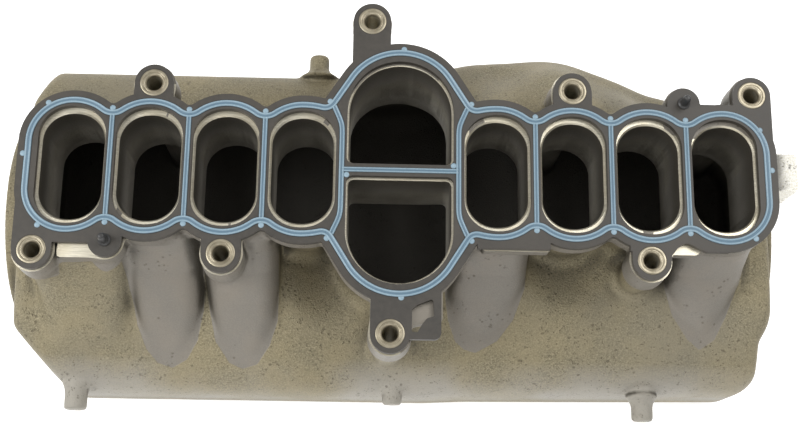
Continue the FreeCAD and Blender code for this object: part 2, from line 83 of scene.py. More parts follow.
# ------------------------------------------------------------------ sizes, mm (as the CAD part)
PITCH, PORT_X0 = 43.5, 55.65
PORT_W, PORT_H, PORT_END_R, PORT_COR_R = 17.6, 31.3, 22.0, 16.5
CREST_Y, SCALLOP_R, END_R, CUSP_R = 38.0, 27.0, 24.3, 9.0
RING_CY, RING_R, RING_VX, RING_VY, RING_X = 37.7, 33.5, 40.2, 36.8, 33.3
INLET_W, INLET_CY, INLET_BAR = 29.4, 35.0, 4.8
LIM_R, LIM_BORE, BOSS_R = 8.25, 4.5, 12.6
SEAT, BASE = -4.0, -145.0
HOLES = [(-142.0, 49.6), (-17.3, 90.7), (99.3, 50.0), (203.8, 49.8),
         (-203.8, -49.8), (-99.3, -50.0), (-4.4, -93.4), (142.0, -49.6)]
PINS = [(163.8, 43.9), (-163.8, -43.9)]
PORTS = [s * (PORT_X0 + i * PITCH) for s in (-1, 1) for i in range(4)]
DIVIDERS = [s * (PORT_X0 + (i + 0.5) * PITCH) for s in (-1, 1) for i in range(3)]
OUTLINE = [(-228.5, 60, 20), (-219.0, 89.0, 7), (0, 89.3, 60), (46, 98.0, 60), (92, 105.2, 60), (131, 88.5, 40), (152, 74.5, 40), (198, 62, 30),
           (228, 40, 30), (228, -72, 30), (221.0, -84, 12), (220.0, -114.0, 14), (45, -117.2, 0), (18, -119.4, 0), (-196, -119.4, 10), (-228.5, -82, 10)]


# ------------------------------------------------------------------ plane curves
def arc(c, r, a0, a1, step=0.06):
    n = max(2, int(abs(a1 - a0) / step) + 1)
    return [(c[0] + r * cos(t), c[1] + r * sin(t)) for t in np.linspace(a0, a1, n + 1)]


def rounded(points, step=0.12):
    n = len(points)
    out = []
    for i, (x, y, r) in enumerate(points):
        px, py = points[i - 1][:2]
        nx, ny = points[(i + 1) % n][:2]
        ux, uy, vx, vy = px - x, py - y, nx - x, ny - y
        lu, lv = hypot(ux, uy), hypot(vx, vy)
        ux, uy, vx, vy = ux / lu, uy / lu, vx / lv, vy / lv
        if r <= 0:
            out.append((x, y))
            continue
        half = 0.5 * (pi - abs(atan2(ux * vy - uy * vx, ux * vx + uy * vy)))
        t = r * sin(half) / cos(half)
        bx, by = ux + vx, uy + vy
        lb = hypot(bx, by)
        c = (x + bx / lb * r / cos(half), y + by / lb * r / cos(half))
        a0 = atan2(y + uy * t - c[1], x + ux * t - c[0])
        a1 = atan2(y + vy * t - c[1], x + vx * t - c[0])
        while a1 - a0 > pi:
            a1 -= 2 * pi
        while a1 - a0 < -pi:
            a1 += 2 * pi
        out += arc(c, r, a0, a1, step)
    return out


def tidy(pts, tol=1e-4):
    out = []
    for p in pts:
        if not out or hypot(p[0] - out[-1][0], p[1] - out[-1][1]) > tol:
            out.append(p)
    while hypot(out[0][0] - out[-1][0], out[0][1] - out[-1][1]) < tol:
        out.pop()
    return out


def oval(cx, w, h, R, r, step=0.07):
    dy = sqrt((R - r) ** 2 - (w - r) ** 2)
    yc = h - R + dy
    a = atan2(dy, w - r)
    p = []
    for s in (1, -1):
        k = 0.0 if s == 1 else pi
        p += arc((cx + s * (w - r), s * yc), r, k, k + a, step)
        p += arc((cx, s * (h - R)), R, k + a, k + pi - a, step)
        p += arc((cx - s * (w - r), s * yc), r, k + pi - a, k + pi, step)
    return tidy(p)


def dee(w, cy, bar, r, s, step=0.06):
    p = arc((0, cy), w, 0, pi, step) + arc((-w + r, bar + r), r, pi, 1.5 * pi, 0.2) + arc((w - r, bar + r), r, 1.5 * pi, 2 * pi, 0.2)
    return tidy([(x, s * y) for x, y in (p if s > 0 else p[::-1])])


def loop(off=0.0, step=0.05):
    """The seal's outer loop, moved outward by off, anticlockwise."""
    Rr, R, q = RING_R + off, SCALLOP_R + off, CUSP_R - off
    d = hypot(RING_VX, RING_VY - RING_CY)
    t = atan2(RING_VY - RING_CY, RING_VX) + pi / 2 - asin(RING_R / d)
    T = (Rr * cos(t), RING_CY + Rr * sin(t))
    dx, dy, nx, ny = sin(t), -cos(t), cos(t), sin(t)
    f = max(6.0 - off, 0.4)
    R4, c4 = 45.0 + off, (PORT_X0, CREST_Y - 45.0)
    bx, by = T[0] + nx * f, T[1] + ny * f
    ex, ey = bx - c4[0], by - c4[1]
    B = ex * dx + ey * dy
    C = ex * ex + ey * ey - (R4 + f) ** 2
    k = -B - sqrt(B * B - C)
    if k <= 0:
        k = -B + sqrt(B * B - C)
    F = (bx + dx * k, by + dy * k)
    L = (F[0] - nx * f, F[1] - ny * f)
    a4 = atan2(F[1] - c4[1], F[0] - c4[0])
    a_in, a_out = atan2(L[1] - F[1], L[0] - F[0]), atan2(c4[1] - F[1], c4[0] - F[0])
    while a_in > a_out:
        a_in -= 2 * pi
    p = arc((0, RING_CY), Rr, pi / 2, t, step) + [L] + arc(F, f, a_in, a_out, 0.12) + arc(c4, R4, a4, pi / 2, step)
    for i in range(4):
        cx = PORT_X0 + i * PITCH
        c = (cx, CREST_Y - SCALLOP_R)
        if i < 3:
            h = sqrt((R + q) ** 2 - (PITCH / 2) ** 2)
            a = atan2(h, PITCH / 2)
            p += arc(c, R, pi / 2, a, step) + arc((cx + PITCH / 2, c[1] + h), q, pi + a, 2 * pi - a, 0.12)
            p += arc((cx + PITCH, c[1]), R, pi - a, pi / 2, step)
        else:
            p += arc((cx, CREST_Y - END_R), END_R + off, pi / 2, 0.0, step)
    q1 = p                                   # ring top to right end, y > 0
    full = q1 + [(x, -y) for x, y in q1[::-1]] + [(-x, -y) for x, y in q1] + [(-x, y) for x, y in q1[::-1]]
    return tidy(full)[::-1]


# ------------------------------------------------------------------ distance fields
H = 1.3
LO = np.array([-242.0, -139.0, -150.0])
HI = np.array([242.0, 109.0, 7.0])
NX, NY, NZ = [int((HI[i] - LO[i]) / H) + 2 for i in range(3)]
GX = (LO[0] + H * np.arange(NX)).astype(np.float32)
GY = (LO[1] + H * np.arange(NY)).astype(np.float32)
GZ = (LO[2] + H * np.arange(NZ)).astype(np.float32)


def smin(a, b, k):
    h = np.maximum(k - np.abs(a - b), 0) / k
    return np.minimum(a, b) - h * h * (k * 0.25)


def smax(a, b, k):
    return -smin(-a, -b, k)


def poly_sdf(pts, A, B):
    d = np.full(np.broadcast(A, B).shape, 1e12, np.float32)
    ins = np.zeros(d.shape, bool)
    for (ax, ay), (bx, by) in zip(pts, pts[1:] + pts[:1]):
        ex, ey = bx - ax, by - ay
        wx, wy = A - ax, B - ay
        t = np.clip((wx * ex + wy * ey) / (ex * ex + ey * ey), 0, 1)
        d = np.minimum(d, (wx - ex * t) ** 2 + (wy - ey * t) ** 2)
        if abs(ey) > 1e-9:
            ins ^= ((ay <= B) != (by <= B)) & (A < ax + (B - ay) * (ex / ey))
    return np.where(ins, -1, 1).astype(np.float32) * np.sqrt(d)


F = np.full((NX, NY, NZ), 60.0, np.float32)


def cut_box(x0, x1, y0, y1, z0, z1, pad):
    i = [np.searchsorted(g, (a - pad, b + pad)) for g, a, b in ((GX, x0, x1), (GY, y0, y1), (GZ, z0, z1))]
    return tuple(slice(max(0, a), b) for a, b in i)


def local(s):
    return GX[s[0]][:, None, None], GY[s[1]][None, :, None], GZ[s[2]][None, None, :]


def add(fn, box, k, sub=False):
    s = cut_box(*box, k + 3)
    x, y, z = local(s)
    d = fn(x, y, z)
    F[s] = smax(F[s], -d, k) if sub else smin(F[s], d, k)


def slab(z, z0, z1):
    return np.abs(z - (z0 + z1) / 2) - (z1 - z0) / 2


def prism(pts, z0, z1, k, grow=0.0, edge=1.5, sub=False):
    """Upright prism of a closed curve, rounded at its edges."""
    xs, ys = [p[0] for p in pts], [p[1] for p in pts]
    s = cut_box(min(xs) - grow, max(xs) + grow, min(ys) - grow, max(ys) + grow, z0, z1, k + 3)
    x, y, z = local(s)
    d2 = poly_sdf(pts, GX[s[0]][:, None], GY[s[1]][None, :])[:, :, None] - grow
    d = smax(d2, slab(z, z0, z1), edge)
    F[s] = smax(F[s], -d, k) if sub else smin(F[s], d, k)


def round_cone(path, k, sub=False, squash=1.0):
    """Tube through (x, y, z, r) points; radius runs evenly between them."""
    P = np.array(path, float)
    r = P[:, 3].max()
    s = cut_box(P[:, 0].min() - r, P[:, 0].max() + r, P[:, 1].min() - r, P[:, 1].max() + r, P[:, 2].min() - r, P[:, 2].max() + r, k + 3)
    x, y, z = local(s)
    d = path_sdf(P, x, y, z)
    F[s] = smax(F[s], -d, k) if sub else smin(F[s], d, k)


def path_sdf(P, x, y, z):
    d = None
    for a, b in zip(P[:-1], P[1:]):
        e = b[:3] - a[:3]
        t = np.clip(((x - a[0]) * e[0] + (y - a[1]) * e[1] + (z - a[2]) * e[2]) / (e @ e), 0, 1).astype(np.float32)
        q = np.sqrt((x - a[0] - t * e[0]) ** 2 + (y - a[1] - t * e[1]) ** 2 + (z - a[2] - t * e[2]) ** 2) - (a[3] + t * (b[3] - a[3]))
        d = q if d is None else smin(d, q, 4.0)
    return d


def smooth_path(pts, n=5):
    """Catmull-Rom through (x, y, z, r) points."""
    P = np.array([pts[0]] + list(pts) + [pts[-1]], float)
    out = []
    for i in range(1, len(P) - 2):
        for j in range(n):
            t = j / n
            out.append(0.5 * ((2 * P[i]) + (-P[i - 1] + P[i + 1]) * t + (2 * P[i - 1] - 5 * P[i] + 4 * P[i + 1] - P[i + 2]) * t * t
                              + (-P[i - 1] + 3 * P[i] - 3 * P[i + 1] + P[i + 2]) * t ** 3))
    out.append(P[-2])
    return np.array(out)


def arch(g, c):
    hy, hz, base, r = 106.0 - g, 48.0 - g, BASE + g, 24.0 - g
    pts = []
    for i in range(49):
        t = pi * i / 48
        ct, st = cos(t), max(sin(t), 0)
        pts.append((c + hy * abs(ct) ** 0.8 * (1 if ct >= 0 else -1), -103.0 + hz * st ** 0.8))
    pts += arc((c - hy + r, base + r), r, pi, 1.5 * pi, 0.15) + arc((c + hy - r, base + r), r, 1.5 * pi, 2 * pi, 0.15)
    return tidy(pts)


def plenum_field():
    o2 = poly_sdf(tidy(rounded(OUTLINE)), GX[:, None], GY[None, :])[:, :, None]
    a1 = poly_sdf(arch(0.0, -15.0), GY[:, None], GZ[None, :])[None, :, :]
    a2 = poly_sdf(arch(0.0, -1.2), GY[:, None], GZ[None, :])[None, :, :]
    side = np.abs(GX - 107.0)[:, None, None] - 86.0
    p = smin(a1, smax(a2, side, 30.0), 16.0)
    return np.maximum(smax(p, o2, 8.0), BASE - GZ[None, None, :])


def bulge(plan, front, grow=1.6, k=2.5):
    """Smooth front of a runner: an upright prism over plan, below the line that front draws in Y and Z."""
    under = front + [(front[-1][0], -112.0), (12.0, -112.0), (12.0, front[0][1])]
    xs, ys = [p[0] for p in plan], [p[1] for p in plan]
    s = cut_box(min(xs) - 3, max(xs) + 3, min(ys) - 3, 12, -112, -8, k + 3)
    d2 = poly_sdf(plan, GX[s[0]][:, None], GY[s[1]][None, :])[:, :, None] - grow
    f2 = poly_sdf(under, GY[s[1]][:, None], GZ[s[2]][None, :])[None, :, :]
    mid = sum(xs) / len(xs)
    crown = ((GX[s[0]] - mid) / 20.0)[:, None, None] ** 2 * 2.2
    F[s] = smin(F[s], smax(d2, f2 + crown, 13.0), k)


def build_casting():
    global F, CAV
    F = plenum_field().astype(np.float32)
    # a pocket between the third runner and the inlet duct, and a lesser one between the runners on the other side
    X, Y, Z = GX[:, None, None], GY[None, :, None], GZ[None, None, :]
    hollow = np.minimum(np.sqrt((X + 41.0) ** 2 + ((Y + 44) / 1.5) ** 2 + (Z + 40) ** 2) - 25.0, np.sqrt((X - 100.0) ** 2 / 1.3 + ((Y + 42) / 1.3) ** 2 + (Z + 40) ** 2) - 20.0)
    cav = smax(F + 5.0, 5.5 - hollow, 4.0)
    F = smax(F, -hollow, 10.0).astype(np.float32)
    # flange, with every ear and web
    plate = tidy(loop(5.7, 0.08))
    s = cut_box(-222, 222, -112, 110, -16, 1, 5)
    x, y, z = local(s)
    A, B = GX[s[0]][:, None], GY[s[1]][None, :]
    d2 = poly_sdf(plate, A, B)
    for px, py in HOLES:
        d2 = smin(d2, np.hypot(A - px, B - py) - (10.3 if py > 80 else 10.9), 1.5)
    for px, py in PINS:
        d2 = smin(d2, np.hypot(A - px, B - py) - 9.2, 2.5)
    for poly in ([(-214.9, 8), (-214.9, -49.8), (-192.7, -49.8), (-192.7, -30)], [(214.8, 10), (214.8, 49.8), (192.7, 49.8), (192.7, 34)],
                 [(-190, -40), (-190, -53.0), (-166, -53.0), (-166, -40)], [(140, -36), (146, -45.2), (168.5, -45.2), (176, -38)],
                 [(-27.6, 60), (-27.6, 90.7), (-7.0, 90.7), (-7.0, 60)], [(-15.5, -60), (-15.5, -93.4), (6.7, -93.4), (6.7, -60)],
                 [(2, -60), (24.6, -62), (24.8, -84.5), (9, -88), (2, -90)], [(47, -30), (85, -30), (85, -45), (47, -45)],
                 [(160, 20), (205, 20), (205, 44.0), (160, 44.0)], [(-153.2, 34), (-131, 34), (-131, 49.6), (-153.2, 49.6)],
                 [(88.2, 34), (110.4, 34), (110.4, 50), (88.2, 50)], [(-110.4, -34), (-88.2, -34), (-88.2, -50), (-110.4, -50)],
                 [(131, -34), (153.2, -34), (153.2, -49.6), (131, -49.6)]):
        d2 = smin(d2, poly_sdf(poly, A, B) - 0.1, 1.0)
    d = smax(d2[:, :, None] - (z - SEAT) * 0.03, slab(z, -15.5, 2.0), 2.0)
    F[s] = smin(F[s], d, 4.0)
    # walls of the runners and of the inlet duct, standing on the plenum
    for cx in PORTS:
        prism(oval(cx, PORT_W + 4.2, PORT_H + 4.6, 26.0, 20.0, 0.15), -84, -13, 9.0)
    prism(tidy(arc((0, 35.6), 35.0, 0, pi) + arc((0, -35.6), 35.0, pi, 2 * pi)), -84, -13, 9.0)
    # the runners that show
    for plan, front in BULGES:
        bulge(plan, front)
    bulge(SHOULDER, SHOULDER_LINE, 1.0, 5.0)
    for p in BACK_RUNS:
        round_cone(p, 14.0)
    # bosses, towers, posts
    for i, (px, py) in enumerate(HOLES):
        add(lambda x, y, z: smax(np.hypot(x - px, y - py) - (10.5 if i == 1 else 11.0) + (0.0 if i == 1 else 0.04) * (z + 4), slab(z, -25, 2), 3.0),
            (px - 13, px + 13, py - 13, py + 13, -25, 2), 4.0)
        end = -70 if i == 1 else -90
        add(lambda x, y, z: smax(np.hypot(x - px, y - py) - (7.6 if i in (1, 3) else 9.3), slab(z, end, -20), 3.0), (px - 11, px + 11, py - 11, py + 11, end, -20), 7.0)
    for px, py in PINS:
        add(lambda x, y, z: smax(np.hypot(x - px, y - py) - 9.3, slab(z, -20, 2), 3.0), (px - 10, px + 10, py - 10, py + 10, -20, 2), 4.0)
    add(lambda x, y, z: smax(smax(np.abs(x + 17.3) - 6.5, np.abs(y - 76) - 16, 3), slab(z, -75, -14), 3), (-24, -10, 60, 92, -75, -14), 6.0)
    for px, r, y0, y1, root in POSTS:
        lo, hi = min(y0, y1), max(y0, y1)
        yr = abs(y1 - y0)

        def post(x, y, z):
            t = np.clip(np.abs(y - y0) / yr, 0, 1)
            rr = r + root * np.maximum(0, 1 - np.abs(t * yr - max(0.0, yr - 15.0)) / 7.0) ** 2
            return smax(np.hypot(x - px, z + 84.0) - rr, np.abs(y - (lo + hi) / 2) - (hi - lo) / 2, 2.0)
        add(post, (px - r - 8, px + r + 8, lo, hi, -84 - r - 8, -84 + r + 8), 3.0)
    # end pads
    for yc, zc, R, x0, x1 in ((-6.0, 118.0, 67.3, -235.3, -220.0), (-6.0, 148.0, 75.0, 220.0, 235.3)):
        add(lambda x, y, z: smax(smax(np.hypot(y - yc, z + zc) - R, np.abs(x - (x0 + x1) / 2) - (x1 - x0) / 2, 2.0),
                                 smax(-134.0 - z, np.abs(y + 17) - 99.0, 3.0), 3.0),
            (x0, x1, yc - R, yc + R, -136, R - zc), 1.6)
    # lug
    add(lambda x, y, z: smax(smax(np.abs(x - 218.4) - 16.4, np.abs(y - 9.5) - 11.3, 2.0), slab(z, -50, -24.5), 2.0), (202, 236, -2, 21, -50, -24), 3.0)
    add(lambda x, y, z: smax(smax(np.abs(x - 227.4) - 7.4, np.abs(y - 9.5) - 11.3, 1.5), slab(z, -30, -18), 1.5), (220, 236, -2, 21, -30, -18), 1.5)
    # hollow inside
    for i, (px, py) in enumerate(HOLES):
        if i != 1:
            s = cut_box(px - 12, px + 12, py - 12, py + 12, -150, 0, 4)
            x, y, z = local(s)
            cav[s] = smax(cav[s], -(np.hypot(x - px, y - py) - 10.0) + 0 * z, 3.0)
    CAV = cav
    F = smax(F, -cav, 1.5)
    for cx in PORTS:
        prism(oval(cx, PORT_W, PORT_H, PORT_END_R, PORT_COR_R, 0.15), -90, -52, 2.0, grow=0.4, sub=True)
    prism(dee(INLET_W, INLET_CY, INLET_BAR, 3.0, 1, 0.15), -90, -52, 2.0, grow=0.3, sub=True)
    prism(dee(INLET_W, INLET_CY, INLET_BAR, 3.0, -1, 0.15), -90, -52, 2.0, grow=0.3, sub=True)


LINE = [(-36, -8), (-40.5, -12), (-45, -24), (-54, -36), (-69, -47.5), (-86, -57.5), (-97, -65), (-106, -75)]


def line(tip):
    k = (tip + 40.0) / -63.0
    return [(y if y > -46 else -45 + (y + 45) * k, z) for y, z in LINE]


BULGES = [
    ([(-160, 10), (-160, -37), (-156, -61), (-152, -81), (-147, -94), (-141, -101), (-133, -103.5), (-125, -99), (-119, -89), (-115.5, -72), (-114.5, -36), (-114.5, 10)][::-1], line(-103)),
    ([(-114, 10), (-113, -42), (-109.5, -72), (-106, -89), (-98, -100.5), (-91, -103.5), (-83, -101), (-76, -91), (-71.5, -77), (-71, -35), (-71, 10)][::-1], line(-103)),
    ([(32, 10), (31, -30), (30, -57), (32.5, -75), (37, -87), (42, -91), (48, -92.5), (60, -86), (69, -74), (75.5, -56), (76.5, -32), (76.5, 10)][::-1], line(-92)),
    ([(163, 10), (160, -34), (162, -54), (167, -70), (176, -83), (183, -88.5), (191, -83), (198, -69), (204.5, -51), (206, -33), (206, 10)][::-1], line(-88))]
SHOULDER = [(-211, 10), (-211, -48), (-210, -74), (-204, -98), (-158, -98), (-157, -50), (-158, 10)]
SHOULDER_LINE = [(-44, -9), (-50.5, -13), (-55, -24), (-63, -38), (-76, -50), (-91, -60), (-104, -74)]
BACK_RUNS = [smooth_path(p, 4) for p in (
    [(99.2, 14, -30, 19), (98, 40, -44, 22), (97, 60, -66, 26), (96, 66, -95, 28)],
    [(142.6, 14, -30, 19), (138, 34, -44, 20), (132, 48, -66, 22), (128, 52, -95, 24)],
    [(56, 14, -30, 19), (60, 34, -46, 20), (64, 50, -66, 22), (66, 52, -95, 24)])]
# x, radius, root y, tip y, root flare
POSTS = [(-51.0, 6.3, 80.0, 100.3, 6.5), (-191.5, 6.8, -100.0, -129.6, 1.2), (151.5, 6.5, -108.0, -131.3, 3.5), (-1.0, 6.0, -112.0, -123.6, 1.0)]


# ------------------------------------------------------------------ field to mesh
def surface_net():
    f = F
    s = f < 0
    c = np.zeros((NX - 1, NY - 1, NZ - 1), np.int8)
    for i in (0, 1):
        for j in (0, 1):
            for k in (0, 1):
                c += s[i:NX - 1 + i, j:NY - 1 + j, k:NZ - 1 + k]
    act = (c > 0) & (c < 8)
    ids = np.full(act.shape, -1, np.int32)
    cell = np.argwhere(act)
    ids[act] = np.arange(len(cell), dtype=np.int32)
    acc = np.zeros((len(cell), 3))
    num = np.zeros(len(cell))
    ci, cj, ck = cell.T
    corners = [(i, j, k) for i in (0, 1) for j in (0, 1) for k in (0, 1)]
    for a in corners:
        for ax in range(3):
            if a[ax]:
                continue
            b = list(a)
            b[ax] = 1
            fa = f[ci + a[0], cj + a[1], ck + a[2]]
            fb = f[ci + b[0], cj + b[1], ck + b[2]]
            m = (fa < 0) != (fb < 0)
            t = np.where(m, fa / np.where(m, fa - fb, 1), 0)
            p = np.array(a, float)[None, :].repeat(len(cell), 0)
            p[:, ax] += t
            acc[m] += p[m]
            num[m] += 1
    v = LO + H * (cell + acc / num[:, None])
    faces = []
    for ax in range(3):
        u, w = (ax + 1) % 3, (ax + 2) % 3
        sl0 = [slice(None)] * 3
        sl1 = [slice(None)] * 3
        sl0[ax], sl1[ax] = slice(0, -1), slice(1, None)
        s0, s1 = s[tuple(sl0)], s[tuple(sl1)]
        e = np.argwhere(s0 != s1)
        e = e[(e[:, u] > 0) & (e[:, w] > 0) & (e[:, u] < act.shape[u]) & (e[:, w] < act.shape[w])]
        q = []
        for du, dw in ((-1, -1), (0, -1), (0, 0), (-1, 0)):
            o = e.copy()
            o[:, u] += du
            o[:, w] += dw
            q.append(ids[o[:, 0], o[:, 1], o[:, 2]])
        q = np.stack(q, 1)
        flip = ~s0[e[:, 0], e[:, 1], e[:, 2]]
        q[flip] = q[flip][:, ::-1]
        faces.append(q)
    faces = np.concatenate(faces)
    return v, faces


def mesh_object(name, verts, faces, scale=MM):
    me = bpy.data.meshes.new(name)
    v = np.asarray(verts, np.float32) * scale
    if isinstance(faces, np.ndarray):
        n, k = faces.shape
        me.vertices.add(len(v))
        me.vertices.foreach_set("co", v.ravel())
        me.loops.add(n * k)
        me.loops.foreach_set("vertex_index", faces.astype(np.int32).ravel())
        me.polygons.add(n)
        me.polygons.foreach_set("loop_start", np.arange(0, n * k, k, dtype=np.int32))
        me.update(calc_edges=True)
        me.validate()
    else:
        me.from_pydata([tuple(p) for p in v], [], faces)
        me.update()
    ob = bpy.data.objects.new(name, me)
    bpy.context.scene.collection.objects.link(ob)
    return ob


def rings_mesh(rings):
    """Closed solid through a stack of equal-length rings [(pts, z)], first to last downward."""
    n = len(rings[0][0])
    v, f = [], []
    for pts, z in rings:
        v += [(x, y, z) for x, y in pts]
    for r in range(len(rings) - 1):
        for i in range(n):
            j = (i + 1) % n
            f.append((r * n + j, r * n + i, (r + 1) * n + i, (r + 1) * n + j))
    f.append(tuple(range(n)))
    f.append(tuple(range((len(rings) - 1) * n, len(rings) * n))[::-1])
    return v, f


def circle(x, y, r, n=48):
    return [(x + r * cos(2 * pi * i / n), y + r * sin(2 * pi * i / n)) for i in range(n)]


def cutters():
    V, Fc = [], []

    def put(v, f):
        o = len(V)
        V.extend(v)
        Fc.extend([tuple(i + o for i in q) for q in f])
    for cx in PORTS:
        wide = oval(cx, PORT_W + 0.9, PORT_H + 0.9, PORT_END_R + 0.9, PORT_COR_R + 0.9)
        tight = oval(cx, PORT_W, PORT_H, PORT_END_R, PORT_COR_R)
        put(*rings_mesh([(wide, 4.0), (wide, SEAT), (tight, SEAT - 1.1), (tight, -58.0)]))
    for s in (1, -1):
        wide = dee(INLET_W + 0.5, INLET_CY, INLET_BAR - 0.5, 3.5, s)
        tight = dee(INLET_W, INLET_CY, INLET_BAR, 3.0, s)
        wide = resample(wide, 120)
        tight = resample(tight, 120)
        put(*rings_mesh([(wide, 4.0), (wide, SEAT), (tight, SEAT - 0.6), (tight, -58.0)]))
    for i, (x, y) in enumerate(HOLES):
        z0 = -79.0 if i == 1 else BASE - 2
        rr = [(circle(x, y, LIM_BORE + 0.05), 4.0), (circle(x, y, LIM_BORE + 0.05), z0 if i == 1 else BASE + 1.2)]
        if i != 1:
            rr += [(circle(x, y, 9.0), BASE + 1.2), (circle(x, y, 9.0), z0)]
        put(*rings_mesh(rr))
    for x, y in PINS:
        put(*rings_mesh([(circle(x, y, 2.5, 24), 4.0), (circle(x, y, 2.5, 24), -15.0)]))
    return V, Fc


def resample(pts, n):
    P = np.array(pts + pts[:1])
    s = np.r_[0, np.cumsum(np.hypot(*np.diff(P, axis=0).T))]
    t = np.linspace(0, s[-1], n + 1)[:-1]
    return [(float(a), float(b)) for a, b in zip(np.interp(t, s, P[:, 0]), np.interp(t, s, P[:, 1]))]


def box_mesh(x0, x1, y0, y1, z0, z1):
    v = [(x, y, z) for x in (x0, x1) for y in (y0, y1) for z in (z0, z1)]
    f = [(0, 1, 3, 2), (4, 6, 7, 5), (0, 4, 5, 1), (2, 3, 7, 6), (0, 2, 6, 4), (1, 5, 7, 3)]
    return v, f


def boolean(ob, v, f, name):
    c = mesh_object(name, v, f)
    bm = bmesh.new()
    bm.from_mesh(c.data)
    bmesh.ops.recalc_face_normals(bm, faces=bm.faces)
    bm.to_mesh(c.data)
    bm.free()
    mod = ob.modifiers.new("cut", "BOOLEAN")
    mod.operation = "DIFFERENCE"
    mod.object = c
    mod.solver = "MANIFOLD"
    dg = bpy.context.evaluated_depsgraph_get()
    me = bpy.data.meshes.new_from_object(ob.evaluated_get(dg))
    ob.modifiers.remove(mod)
    if len(me.polygons) < 1000 or len(me.polygons) == len(ob.data.polygons):
        raise RuntimeError("the cut of %s didn't work" % name)
    ob.data = me
    bpy.data.objects.remove(c)


def lathe(prof, x, y, n=96):
    """Solid of revolution of a closed (r, z) profile about an upright axis at x, y."""
    v, f = [], []
    k = len(prof)
    on_axis = [r < 1e-6 for r, z in prof]
    idx = []
    for i, (r, z) in enumerate(prof):
        if on_axis[i]:
            idx.append([len(v)] * n)
            v.append((x, y, z))
        else:
            idx.append(list(range(len(v), len(v) + n)))
            v += [(x + r * cos(2 * pi * j / n), y + r * sin(2 * pi * j / n), z) for j in range(n)]
    for i in range(k):
        a, b = idx[i], idx[(i + 1) % k]
        if on_axis[i] and on_axis[(i + 1) % k]:
            continue
        for j in range(n):
            l = (j + 1) % n
            q = [a[j], a[l], b[l], b[j]]
            q = [p for n_, p in enumerate(q) if p not in q[:n_]]
            f.append(tuple(q))
    return v, f


def fix_normals(ob, sharp=35):
    bm = bmesh.new()
    bm.from_mesh(ob.data)
    bmesh.ops.recalc_face_normals(bm, faces=bm.faces)
    bm.to_mesh(ob.data)
    bm.free()
    shade(ob, sharp)


def shade(ob, sharp=35):
    ob.data.polygons.foreach_set("use_smooth", np.ones(len(ob.data.polygons), bool))
    ob.data.set_sharp_from_angle(angle=sharp * pi / 180)
    ob.data.update()


